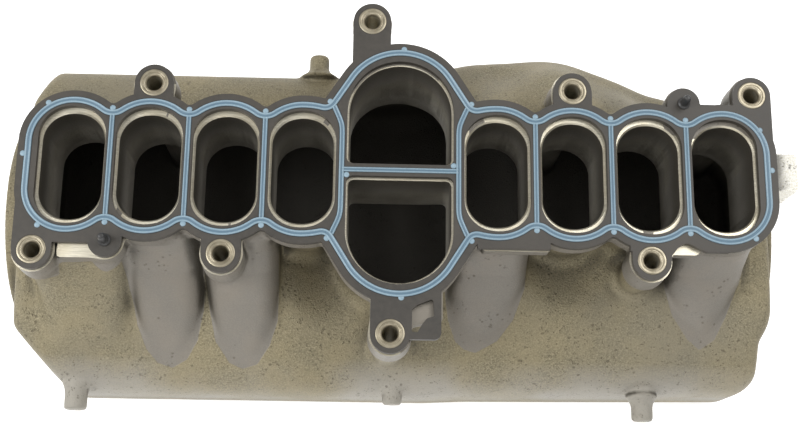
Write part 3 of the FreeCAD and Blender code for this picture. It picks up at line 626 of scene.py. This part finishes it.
# ------------------------------------------------------------------ node helpers
class Mat:
    def __init__(self, name):
        self.m = bpy.data.materials.new(name)
        self.m.use_nodes = True
        self.t = self.m.node_tree
        self.t.nodes.clear()
        self.out = self.t.nodes.new("ShaderNodeOutputMaterial")
        self.b = self.t.nodes.new("ShaderNodeBsdfPrincipled")
        self.t.links.new(self.b.outputs[0], self.out.inputs[0])
        co = self.t.nodes.new("ShaderNodeTexCoord")
        self.co = co.outputs["Object"]

    def n(self, kind, **kw):
        o = self.t.nodes.new(kind)
        for k, v in kw.items():
            setattr(o, k, v)
        return o

    def link(self, a, b):
        if hasattr(a, "is_output") or isinstance(a, bpy.types.NodeSocket):
            self.t.links.new(a, b)
        else:
            b.default_value = a

    def scaled(self, sx, sy, sz):
        o = self.n("ShaderNodeMapping")
        o.inputs["Scale"].default_value = (sx, sy, sz)
        self.t.links.new(self.co, o.inputs["Vector"])
        return o.outputs[0]

    def noise(self, scale, detail=2.0, rough=0.5, vec=None, dist=0.0):
        o = self.n("ShaderNodeTexNoise")
        self.t.links.new(vec or self.co, o.inputs["Vector"])
        o.inputs["Scale"].default_value = scale
        o.inputs["Detail"].default_value = detail
        o.inputs["Roughness"].default_value = rough
        o.inputs["Distortion"].default_value = dist
        return o.outputs["Fac"]

    def vor(self, scale, feature="F1", rnd=1.0):
        o = self.n("ShaderNodeTexVoronoi", feature=feature)
        self.t.links.new(self.co, o.inputs["Vector"])
        o.inputs["Scale"].default_value = scale
        o.inputs["Randomness"].default_value = rnd
        return o.outputs["Distance"]

    def math(self, op, a, b=0.0, c=0.0, clamp=False):
        o = self.n("ShaderNodeMath", operation=op, use_clamp=clamp)
        self.link(a, o.inputs[0])
        self.link(b, o.inputs[1])
        self.link(c, o.inputs[2])
        return o.outputs[0]

    def ramp(self, v, stops):
        o = self.n("ShaderNodeValToRGB")
        self.t.links.new(v, o.inputs[0])
        cr = o.color_ramp
        while len(cr.elements) > 1:
            cr.elements.remove(cr.elements[-1])
        first = True
        for p, c in stops:
            e = cr.elements[0] if first else cr.elements.new(p)
            e.position = p
            e.color = (*c, 1.0) if len(c) == 3 else c
            first = False
        return o.outputs[0]

    def smooth(self, v, a, b):
        o = self.n("ShaderNodeMapRange", interpolation_type="SMOOTHSTEP")
        self.t.links.new(v, o.inputs["Value"])
        o.inputs["From Min"].default_value = a
        o.inputs["From Max"].default_value = b
        return o.outputs[0]

    def mix(self, f, a, b, blend="MIX"):
        o = self.n("ShaderNodeMix", data_type="RGBA", blend_type=blend)
        self.link(f, o.inputs[0])
        for v, s in ((a, o.inputs[6]), (b, o.inputs[7])):
            if isinstance(v, (tuple, list)):
                s.default_value = (*v, 1.0)
            else:
                self.t.links.new(v, s)
        return o.outputs[2]

    def attr(self, name):
        o = self.n("ShaderNodeAttribute", attribute_name=name, attribute_type="GEOMETRY")
        return o.outputs["Fac"]

    def bump(self, h, dist, strength=1.0, prev=None):
        o = self.n("ShaderNodeBump")
        self.t.links.new(h, o.inputs["Height"])
        o.inputs["Distance"].default_value = dist
        o.inputs["Strength"].default_value = strength
        if prev is not None:
            self.t.links.new(prev, o.inputs["Normal"])
        return o.outputs[0]

    def base(self, v):
        if isinstance(v, (tuple, list)):
            self.b.inputs["Base Color"].default_value = (*v, 1.0)
        else:
            self.t.links.new(v, self.b.inputs["Base Color"])

    def put(self, **kw):
        for k, v in kw.items():
            s = self.b.inputs[k.replace("_", " ")]
            if isinstance(v, bpy.types.NodeSocket):
                self.t.links.new(v, s)
            else:
                s.default_value = v
        return self.m


def lin(r, g, b):
    f = lambda c: ((c / 255 + 0.055) / 1.055) ** 2.4 if c > 10 else c / 255 / 12.92
    return (f(r), f(g), f(b))


def cast_material():
    M = Mat("cast_aluminium_sand")
    smoothz = M.attr("smoothed")
    inner = M.attr("inner")
    grain = M.noise(2000, 2.0, 0.6)
    mid = M.noise(1050, 2.0, 0.55)
    big = M.noise(42, 3.0, 0.55)
    blot = M.noise(14, 2.0, 0.5)
    pits = M.math("MULTIPLY", M.smooth(M.vor(720), 0.34, 0.22), M.smooth(M.noise(260, 1.0, 0.5), 0.52, 0.62))
    rare = M.math("MULTIPLY", M.smooth(M.vor(330), 0.30, 0.20), M.smooth(M.noise(75, 1.0, 0.5), 0.58, 0.66))
    sand = M.ramp(mid, [(0.25, lin(93, 86, 68)), (0.5, lin(125, 117, 93)), (0.75, lin(154, 144, 118))])
    sand = M.mix(M.smooth(big, 0.35, 0.7), sand, M.mix(0.5, sand, lin(142, 131, 102)))
    sand = M.mix(M.smooth(blot, 0.4, 0.68), sand, M.mix(0.45, sand, lin(112, 108, 97)))
    # painted sheen: along the plenum's lower front edge the sand is mixed, in patches, towards light grey lin(158,
    # 155, 149) to stand in for the front light's reflection
    sand = M.mix(M.math("MULTIPLY", M.attr("painted_lower_sheen"), M.smooth(blot, 0.25, 0.6)), sand, M.mix(0.6, sand, lin(158, 155, 149)))
    plain = M.ramp(grain, [(0.3, lin(110, 106, 99)), (0.7, lin(126, 121, 112))])
    plain = M.mix(M.smooth(big, 0.35, 0.75), plain, M.mix(0.5, plain, lin(128, 120, 108)))
    # the lug's faces: near-white, partly their machined finish and partly painted highlight from strong light
    sand = M.mix(M.attr("lug_face_and_highlight"), sand, M.mix(M.smooth(mid, 0.35, 0.6), lin(228, 224, 208), lin(248, 246, 240)))
    edge = M.math("ADD", smoothz, M.math("MULTIPLY", M.math("SUBTRACT", big, 0.5), 0.5), clamp=True)
    col = M.mix(M.smooth(edge, 0.35, 0.65), sand, plain)
    pit_amt = M.math("MULTIPLY", pits, M.math("SUBTRACT", 1.0, M.math("MULTIPLY", M.smooth(edge, 0.3, 0.7), 0.85)))
    col = M.mix(M.math("MULTIPLY", pit_amt, 0.6), col, lin(84, 75, 58))
    col = M.mix(M.math("MULTIPLY", rare, 0.45), col, lin(70, 62, 48))
    # painted shade: recesses, creases and the undersides of overhangs are darkened towards lin(52, 48, 39) by the
    # vertex mask of the same name
    painted_recess_shade = M.smooth(M.attr("painted_recess_shade"), 0.25, 0.80)
    col = M.mix(M.math("MULTIPLY", painted_recess_shade, 0.78), col, lin(52, 48, 39))
    # inner walls of the ports, inlet and plenum: painted shade near the mouth, then a much lighter albedo further down
    # as painted light, and dark again near the bottom
    painted_inner_shade_and_light = M.ramp(M.noise(60, 3.0, 0.6), [(0.3, (0.045, 0.042, 0.035)), (0.7, (0.085, 0.079, 0.067))])
    sep = M.n("ShaderNodeSeparateXYZ")
    M.t.links.new(M.co, sep.inputs[0])
    deep = M.smooth(sep.outputs[2], -0.007, -0.048)
    painted_inner_shade_and_light = M.mix(deep, painted_inner_shade_and_light, M.ramp(M.noise(55, 3.0, 0.6), [(0.3, (0.46, 0.435, 0.38)), (0.7, (0.66, 0.63, 0.56))]))
    painted_inner_shade_and_light = M.mix(M.smooth(sep.outputs[2], -0.098, -0.136), painted_inner_shade_and_light, (0.075, 0.069, 0.058))
    col = M.mix(inner, col, painted_inner_shade_and_light)
    M.base(col)
    rough = M.math("ADD", 0.48, M.math("MULTIPLY", mid, 0.22))
    rough = M.math("SUBTRACT", rough, M.math("MULTIPLY", M.smooth(edge, 0.3, 0.7), 0.10))
    h = M.math("ADD", M.math("MULTIPLY", grain, 0.45), M.math("MULTIPLY", mid, 0.9))
    h = M.math("SUBTRACT", h, M.math("MULTIPLY", pit_amt, 0.8))
    h = M.math("SUBTRACT", h, M.math("MULTIPLY", rare, 1.2))
    amt = M.math("SUBTRACT", 1.0, M.math("MULTIPLY", M.smooth(edge, 0.3, 0.7), 0.62))
    h = M.math("MULTIPLY", h, amt)
    nb = M.bump(big, 0.0010, 0.35)
    nb = M.bump(h, 0.0006, 0.75, nb)
    return M.put(Roughness=rough, Metallic=0.35, Normal=nb)


def machined_material():
    M = Mat("machined_aluminium")
    lines = M.noise(1.0, 3.0, 0.6, vec=M.scaled(140, 2600, 400))
    blot = M.noise(60, 2.0, 0.5)
    col = M.ramp(lines, [(0.3, lin(184, 178, 160)), (0.7, lin(226, 220, 202))])
    col = M.mix(M.smooth(blot, 0.35, 0.7), col, M.mix(0.5, col, lin(204, 193, 166)))
    sep = M.n("ShaderNodeSeparateXYZ")
    M.t.links.new(M.co, sep.inputs[0])
    web = M.math("MULTIPLY", M.smooth(M.math("ABSOLUTE", M.math("SUBTRACT", sep.outputs[0], 0.0155)), 0.0145, 0.0135), M.smooth(sep.outputs[1], -0.0640, -0.0655))
    col = M.mix(web, col, lin(140, 134, 124))
    M.base(col)
    nb = M.bump(lines, 0.00012, 0.6)
    return M.put(Roughness=M.math("ADD", 0.26, M.math("MULTIPLY", lines, 0.18)), Metallic=0.8, Normal=nb)


def carrier_material():
    M = Mat("carrier_plastic")
    fine = M.noise(2600, 2.0, 0.6)
    mid = M.noise(300, 3.0, 0.6)
    big = M.noise(18, 2.0, 0.5)
    col = M.ramp(mid, [(0.3, lin(46, 43, 38)), (0.7, lin(58, 54, 48))])
    col = M.mix(M.smooth(big, 0.35, 0.7), col, M.mix(0.5, col, lin(68, 63, 56)))
    M.base(col)
    nb = M.bump(M.math("ADD", fine, M.math("MULTIPLY", mid, 0.7)), 0.00012, 0.5)
    return M.put(Roughness=M.math("ADD", 0.42, M.math("MULTIPLY", mid, 0.2)), Normal=nb)


def seal_material():
    M = Mat("seal_silicone")
    painted_groove_and_gap_shade = M.attr("painted_groove_and_gap_shade")
    fine = M.noise(1200, 2.0, 0.5)
    big = M.noise(30, 2.0, 0.5)
    col = M.ramp(fine, [(0.3, lin(120, 142, 155)), (0.7, lin(136, 158, 170))])
    col = M.mix(M.smooth(big, 0.4, 0.7), col, M.mix(0.4, col, lin(112, 136, 151)))
    # painted shade: darker blue-grey in the bead's centre groove, near-black on the strips beside the bead
    col = M.mix(M.math("MULTIPLY", painted_groove_and_gap_shade, 0.85, clamp=True), col, lin(82, 107, 124))
    col = M.mix(M.smooth(painted_groove_and_gap_shade, 1.2, 1.8), col, lin(26, 26, 26))
    M.base(col)
    return M.put(Roughness=0.42, Normal=M.bump(fine, 0.00006, 0.4))


def steel_material():
    M = Mat("limiter_steel")
    rings = M.noise(900, 2.0, 0.5)
    big = M.noise(160, 2.0, 0.5)
    col = M.ramp(big, [(0.3, lin(138, 130, 111)), (0.7, lin(180, 171, 150))])
    col = M.mix(M.math("MULTIPLY", rings, 0.35), col, lin(122, 114, 96))
    M.base(col)
    return M.put(Roughness=M.math("ADD", 0.30, M.math("MULTIPLY", rings, 0.15)), Metallic=0.75, Normal=M.bump(rings, 0.00008, 0.5))


def pin_material():
    M = Mat("pin_plastic")
    fine = M.noise(1500, 2.0, 0.5)
    col = M.ramp(M.noise(200, 2.0, 0.5), [(0.3, (0.018, 0.018, 0.018)), (0.7, (0.035, 0.034, 0.033))])
    M.base(col)
    return M.put(Roughness=M.math("ADD", 0.35, M.math("MULTIPLY", fine, 0.15)), Normal=M.bump(fine, 0.0001, 0.4))


cast_mat, mach_mat = cast_material(), machined_material()
carrier_mat, seal_mat, steel_mat, pin_mat = carrier_material(), seal_material(), steel_material(), pin_material()

# ------------------------------------------------------------------ casting
build_casting()
for step in range(6):
    # a cell with two sheets in it makes an edge shared by four faces: soften the field there and try again
    v, f = surface_net()
    e = np.sort(np.stack([f, np.roll(f, -1, 1)], 2).reshape(-1, 2), 1).astype(np.int64)
    key, cnt = np.unique(e[:, 0] * len(v) + e[:, 1], return_counts=True)
    bad = np.unique(np.r_[key[cnt != 2] // len(v), key[cnt != 2] % len(v)])
    print("net", step, len(v), "bad", len(bad), np.round(v[bad[:4]]).tolist())
    if not len(bad):
        break
    for p in v[bad]:
        i, j, k = np.round((p - LO) / H).astype(int)
        w = (slice(max(i - 4, 0), i + 5), slice(max(j - 4, 0), j + 5), slice(max(k - 4, 0), k + 5))
        g = F[w].copy()
        for ax in range(3):
            q = np.pad(g, [(1, 1) if a == ax else (0, 0) for a in range(3)], mode="edge")
            n_ = g.shape[ax]
            g = (np.take(q, range(0, n_), ax) + 2 * np.take(q, range(1, n_ + 1), ax) + np.take(q, range(2, n_ + 2), ax)) * 0.25
        F[w][1:-1, 1:-1, 1:-1] = g[1:-1, 1:-1, 1:-1]
casting = mesh_object("casting_body", v, f)
boolean(casting, *box_mesh(-300, 300, -200, 200, SEAT, 60), "top_cut")
boolean(casting, *box_mesh(218.2, 300, -20, 40, -20.0, 60), "lug_cut")
boolean(casting, *cutters(), "port_cut")
me = casting.data
n = len(me.vertices)
co = np.empty(n * 3, np.float32)
me.vertices.foreach_get("co", co)
co = co.reshape(-1, 3) / MM
x, y, z = co.T
sm = np.zeros(n, np.float32)
for plan, front in BULGES:
    d = poly_sdf(plan, x, y)
    sm = np.maximum(sm, (1 - np.clip((d - 0.6) / 1.4, 0, 1)) * (z > -80))
for px, py in HOLES + PINS:
    dd = np.hypot(x - px, y - py)
    sm = np.maximum(sm, (1 - np.clip((dd - 12.2) / 1.5, 0, 1)) * np.clip((z + 32) / 5.0, 0, 1))
sm = np.maximum(sm, np.clip((z + 17.5) / 2.0, 0, 1))
# mask of the inner surfaces that take the painted inner shade and light
inn = np.zeros(n, np.float32)
for cx in PORTS:
    d = poly_sdf(oval(cx, PORT_W, PORT_H, PORT_END_R, PORT_COR_R, 0.2), x, y)
    inn = np.maximum(inn, (d < 0.6) * np.clip((-5.3 - z) / 3.0, 0, 1) * (z > -100))
for s in (1, -1):
    d = poly_sdf(dee(INLET_W, INLET_CY, INLET_BAR, 3.0, s, 0.15), x, y)
    inn = np.maximum(inn, (d < 0.6) * np.clip((-5.0 - z) / 3.0, 0, 1) * (z > -100))
ix = [np.clip(np.round((c - LO[i]) / H).astype(int), 0, m - 1) for i, (c, m) in enumerate(((x, NX), (y, NY), (z, NZ)))]
inn = np.maximum(inn, (CAV[ix[0], ix[1], ix[2]] < 1.2).astype(np.float32))
vn = np.empty(n * 3, np.float32)
me.vertex_normals.foreach_get("vector", vn)
vn = vn.reshape(-1, 3)
# painted shade mask: how far the field closes in along each vertex normal, 6 to 30 mm out; it darkens recesses, the
# flange's underside and the gaps between runners, not the inner surfaces
painted_occlusion_shade = np.zeros(n, np.float32)
for reach in (6.0, 12.0, 20.0, 30.0):
    ip = [np.clip(np.round((c + vn[:, i] * reach - LO[i]) / H).astype(int), 0, m - 1) for i, (c, m) in enumerate(((x, NX), (y, NY), (z, NZ)))]
    painted_occlusion_shade += np.clip(1 - F[ip[0], ip[1], ip[2]] / reach, 0, 1) * 0.25
painted_occlusion_shade *= (1 - inn)
# lug mask: its machined finish together with a painted highlight
lug_face_and_highlight = ((z > -47.0) & (z < -18) & (x > 214.5) & (np.abs(y - 9.5) < 12.3)).astype(np.float32)
# painted sheen mask: the front band below y = -98 mm, fading out towards the base
painted_lower_sheen = np.clip((-98.0 - y) / 14.0, 0, 1) * np.clip((z + 125) / 20.0, 0, 1)
for name, arr in (("smoothed", sm), ("inner", inn), ("painted_recess_shade", painted_occlusion_shade), ("painted_lower_sheen", painted_lower_sheen), ("lug_face_and_highlight", lug_face_and_highlight)):
    a = me.attributes.new(name, "FLOAT", "POINT")
    a.data.foreach_set("value", arr.astype(np.float32))
me.materials.clear()
me.materials.append(cast_mat)
me.materials.append(mach_mat)
k = len(me.polygons)
ctr = np.empty(k * 3, np.float32)
nor = np.empty(k * 3, np.float32)
me.polygons.foreach_get("center", ctr)
me.polygons.foreach_get("normal", nor)
ctr, nor = ctr.reshape(-1, 3) / MM, nor.reshape(-1, 3)
near = np.full(k, 99.0, np.float32)
for cx in PORTS:
    near = np.minimum(near, poly_sdf(oval(cx, PORT_W, PORT_H, PORT_END_R, PORT_COR_R, 0.2), ctr[:, 0], ctr[:, 1]))
for s in (1, -1):
    near = np.minimum(near, poly_sdf(dee(INLET_W, INLET_CY, INLET_BAR, 3.0, s, 0.15), ctr[:, 0], ctr[:, 1]))
near = np.where((ctr[:, 0] > 2) & (ctr[:, 0] < 27) & (ctr[:, 1] < -64.8), 99.0, near)
for x0, x1, y0, y1 in ((-190.5, -168.0, -53.6, -43.0), (150.0, 174.0, -46.0, -37.5)):
    near = np.where((ctr[:, 0] > x0) & (ctr[:, 0] < x1) & (ctr[:, 1] > y0) & (ctr[:, 1] < y1), 0, near)
mi = ((np.abs(ctr[:, 2] - SEAT) < 0.02) & (nor[:, 2] > 0.9) & (near < 4.0)).astype(np.int32)
mi |= (ctr[:, 2] > SEAT - 1.15) & (ctr[:, 2] < SEAT) & (nor[:, 2] > 0.3) & (near < 4.0)
for px, py in HOLES:
    dd = np.hypot(ctr[:, 0] - px, ctr[:, 1] - py)
    mi |= (dd < 4.6) & ((py < 80) | (ctr[:, 2] > -79.5))
    mi |= (dd < 9.3) & (ctr[:, 2] < BASE + 1.4) & (ctr[:, 2] > BASE + 0.05)
me.polygons.foreach_set("material_index", mi.astype(np.int32))
shade(casting, 38)
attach(casting, "root")
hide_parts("casting")
print("casting", n, "verts", k, "faces")

# ------------------------------------------------------------------ seals
# third column: 0 plain bead; 1 the bead's centre groove, painted darker as crease shade; 2 the thin flat strips beside
# the bead and its foot, painted near-black as the shadow in the carrier's gap
PROFILE = [(-1.75, -1.0, 2), (-1.75, -0.03, 2), (-2.12, -0.03, 2), (-2.12, 0.035, 2), (-1.76, 0.05, 2), (-1.72, 0.28, 0), (-1.55, 0.62, 0), (-1.2, 0.82, 0), (-0.8, 0.72, 0), (-0.45, 0.35, 1), (-0.2, 0.12, 1), (0.2, 0.12, 1),
           (0.45, 0.35, 1), (0.8, 0.72, 0), (1.2, 0.82, 0), (1.55, 0.62, 0), (1.72, 0.28, 0), (1.76, 0.05, 2), (2.12, 0.035, 2), (2.12, -0.03, 2), (1.75, -0.03, 2), (1.75, -1.0, 2)]
SV, SF, SG = [], [], []


def sweep(path, closed, wide=1.0, lift=0.0):
    P = np.array(path)
    n = len(P)
    if closed:
        T = np.roll(P, -1, 0) - np.roll(P, 1, 0)
    else:
        T = np.gradient(P, axis=0)
    T /= np.hypot(T[:, 0], T[:, 1])[:, None]
    N = np.c_[T[:, 1], -T[:, 0]]
    o = len(SV)
    k = len(PROFILE)
    for i in range(n):
        for u, z, g in PROFILE:
            p = P[i] + N[i] * u * wide
            SV.append((p[0], p[1], z + (lift if z > 0 else 0)))
            SG.append(g)
    for i in range(n if closed else n - 1):
        a, b = o + i * k, o + ((i + 1) % n) * k
        for j in range(k):
            l = (j + 1) % k
            SF.append((a + j, a + l, b + l, b + j))
    if not closed:
        SF.append(tuple(range(o, o + k)))
        SF.append(tuple(range(o + (n - 1) * k, o + n * k))[::-1])


def fill(points, step=1.2):
    """Open line through points, divided evenly."""
    P = np.array(points, float)
    s = np.r_[0, np.cumsum(np.hypot(*np.diff(P, axis=0).T))]
    t = np.linspace(0, s[-1], max(3, int(s[-1] / step)))
    return np.c_[np.interp(t, s, P[:, 0]), np.interp(t, s, P[:, 1])]


main_loop = resample(loop(0.0, 0.05), 900)
sweep(main_loop, True)
for cx in DIVIDERS:
    sweep(fill([(cx, -30.0), (cx, 30.0)]), False, 0.80, -0.03)
for s in (1, -1):
    side = [(s * 38.2, 37.6)] + [(s * px, py) for px, py in
            [(36.6, 34.0), (35.1, 30.6), (34.0, 27.6), (33.45, 24.6), (33.3, 21.5), (33.3, 0), (33.3, -21.5), (33.45, -24.6), (34.0, -27.6), (35.1, -30.6), (36.6, -34.0)]] + [(s * 38.2, -37.6)]
    sweep(fill(side), False, 0.84, -0.03)
sweep(fill([(-33.0, 0.0), (33.0, 0.0)]), False, 0.80, -0.04)
TABS = [(-201, 35.9), (-213, 5.5), (-201.5, -35.9), (-164.4, 33.6), (-164.4, -33.6), (-120.9, 33.6), (-120.9, -33.6),
        (-77.4, 33.6), (-77.4, -33.6), (-40.6, 40.4), (-40.6, -40.4), (1.5, 73.3), (1.5, -73.3), (40.6, 40.4), (40.6, -40.4),
        (77.4, 33.6), (77.4, -33.6), (120.9, 33.6), (120.9, -33.6), (164.4, 33.6), (164.4, -33.6), (207.3, 28.5), (213, 4.5), (201.5, -35.9),
        (-30.4, -3.2), (30.4, 3.2)]
for tx, ty in TABS:
    tv, tf = lathe([(0, -1.0), (1.65, -1.0), (1.65, 0.05), (1.4, 0.3), (0.8, 0.42), (0, 0.45)], tx, ty, 24)
    o = len(SV)
    SV += tv
    SG += [0] * len(tv)
    SF += [tuple(i + o for i in q) for q in tf]
seal = mesh_object("seal_top_bead", SV, SF)
a = seal.data.attributes.new("painted_groove_and_gap_shade", "FLOAT", "POINT")
a.data.foreach_set("value", np.array(SG, np.float32))
seal.data.materials.append(seal_mat)
fix_normals(seal, 50)
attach(seal, "root")
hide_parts("seal_top")

# ------------------------------------------------------------------ limiters, pins
LIM = [(LIM_BORE, -4.0), (LIM_R - 0.15, -4.0), (LIM_R - 0.02, -3.8), (LIM_R - 0.02, -0.45), (LIM_R - 0.12, -0.18), (LIM_R - 0.38, 0.0), (6.75, 0.0), (6.6, -0.05),
       (6.45, -0.42), (6.35, -0.48), (5.95, -0.48), (5.85, -0.42), (5.72, -0.12), (5.62, -0.08), (5.45, -0.10), (5.32, -0.18), (4.62, -0.95), (LIM_BORE, -1.15)]
for i, (px, py) in enumerate(HOLES):
    ob = mesh_object("limiter_ring_%d" % (i + 1), *lathe(LIM, px, py, 128))
    ob.data.materials.append(steel_mat)
    fix_normals(ob, 40)
    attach(ob, "root")
    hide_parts("limiter_%d" % (i + 1))
PIN = [(0, -14.0), (1.8, -14.0), (2.45, -12.5), (2.45, 0.0), (3.5, 0.02), (3.6, 0.3), (3.6, 0.9), (3.35, 1.2), (2.7, 1.5), (2.42, 2.0), (2.38, 7.5), (2.2, 8.3), (1.75, 9.9), (1.45, 10.3), (0.9, 10.45), (0, 10.5)]
for i, (px, py) in enumerate(PINS):
    ob = mesh_object("locating_pin_body_%d" % (i + 1), *lathe(PIN, px, py, 48))
    ob.data.materials.append(pin_mat)
    fix_normals(ob, 40)
    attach(ob, "root")
    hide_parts("locating_pin_%d" % (i + 1))

# ------------------------------------------------------------------ carried-over CAD nodes
for name, mat in (("gasket_carrier", carrier_mat), ("seal_bottom", seal_mat), ("casting", cast_mat)):
    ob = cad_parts[name]
    ob.data.materials.clear()
    ob.data.materials.append(mat)
for name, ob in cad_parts.items():
    if name not in ("gasket_carrier", "seal_bottom", "casting"):
        ob.data.materials.clear()
        ob.data.materials.append(seal_mat if name == "seal_top" else pin_mat if "pin" in name else steel_mat)

# ------------------------------------------------------------------ stage and light
bpy.ops.mesh.primitive_plane_add(size=30.0, location=(0, 0, cad_box[0][2]))
floor = bpy.context.object
floor.name = "floor"
M = Mat("floor_pale")
fl = M.noise(3.0, 2.0, 0.5)
M.base(M.ramp(fl, [(0.3, (0.93, 0.93, 0.93)), (0.7, (0.955, 0.955, 0.955))]))
M.b.inputs["Emission Color"].default_value = (1.0, 1.0, 1.0, 1.0)
floor.data.materials.append(M.put(Roughness=0.85, Emission_Strength=0.45))

world = bpy.data.worlds.new("world")
world.use_nodes = True
bg = world.node_tree.nodes["Background"]
bg.inputs[0].default_value = (1.0, 1.0, 1.0, 1.0)
bg.inputs[1].default_value = 0.62
bpy.context.scene.world = world


def area(name, at, aim, size, power, color=(1, 1, 1)):
    d = bpy.data.lights.new(name, "AREA")
    d.shape = "RECTANGLE"
    d.size, d.size_y = size
    d.energy = power
    d.color = color
    ob = bpy.data.objects.new(name, d)
    bpy.context.scene.collection.objects.link(ob)
    from mathutils import Vector
    ob.location = at
    ob.rotation_euler = (Vector(aim) - Vector(at)).to_track_quat("-Z", "Y").to_euler()
    return ob


area("key", (0.85, 0.45, 1.25), (0, 0, -0.08), (1.0, 0.8), 13)
area("front", (0.1, -1.6, 0.75), (0, -0.05, -0.08), (1.6, 0.6), 6)
area("side", (-1.05, -0.15, 0.95), (-0.16, -0.03, -0.08), (0.8, 0.9), 15)
sc = bpy.context.scene
sc.view_settings.view_transform = "Standard"
sc.view_settings.look = "None"
